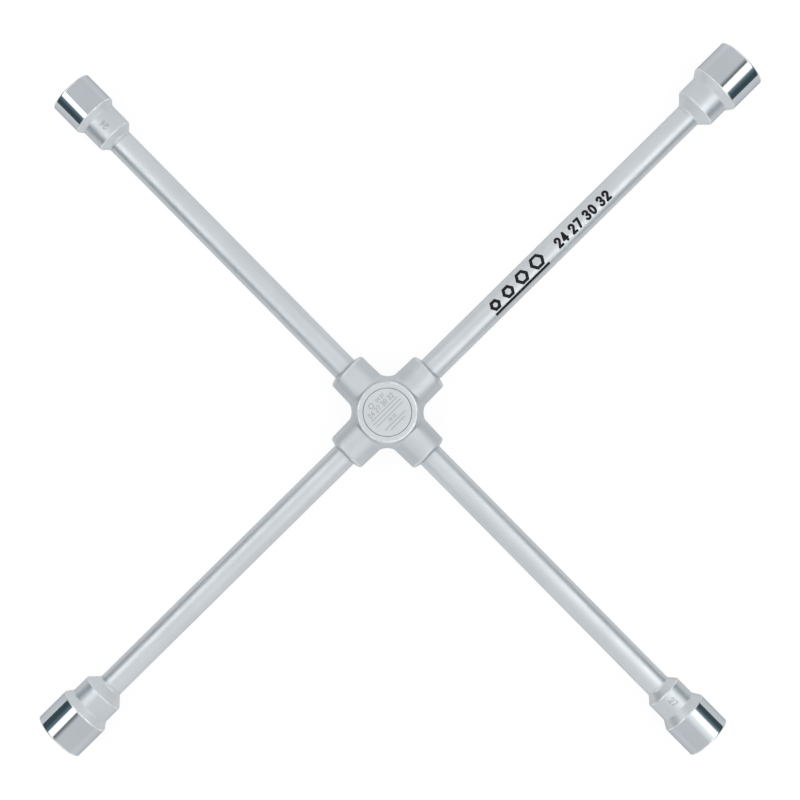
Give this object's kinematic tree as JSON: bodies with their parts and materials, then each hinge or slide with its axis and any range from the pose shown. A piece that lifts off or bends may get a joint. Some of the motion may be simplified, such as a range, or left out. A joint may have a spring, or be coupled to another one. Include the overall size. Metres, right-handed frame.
{
  "type": "lug wrench",
  "caption": "Cross-shaped wheel-nut wrench: round bars pinned in a forged centre hub, each ending in a hexagon socket of a different size, in satin and polished chrome.",
  "frame": {"origin": "centre of the hub's rear face, the flat outer face of the rear cover disc; the four arms' axes cross 17.9 mm above it", "axes": "+Z out of the hub's front face; +X along the arm with the 32 mm hexagon; +Y along the arm with the 24 mm hexagon; -X and -Y are the 30 mm and 27 mm arms"},
  "size_m": [0.7384, 0.699, 0.0424],
  "materials": {
    "hub_satin_chrome": "satin",
    "disc_satin_chrome": "satin",
    "bar_satin_chrome": "satin",
    "head_polished_chrome": "polished",
    "pin_steel": "satin"
  },
  "bodies": {
    "root": {"hub_forging": "hub_satin_chrome", "front_cover_disc": "disc_satin_chrome", "rear_cover_disc": "disc_satin_chrome", "shaft_32": "bar_satin_chrome", "shaft_30": "bar_satin_chrome", "shaft_27": "bar_satin_chrome", "shaft_24": "bar_satin_chrome", "socket_32": "head_polished_chrome", "socket_30": "head_polished_chrome", "socket_27": "head_polished_chrome", "socket_24": "head_polished_chrome", "locking_pin_32": "pin_steel", "locking_pin_30": "pin_steel", "locking_pin_27": "pin_steel", "locking_pin_24": "pin_steel"}
  },
  "joints": []
}
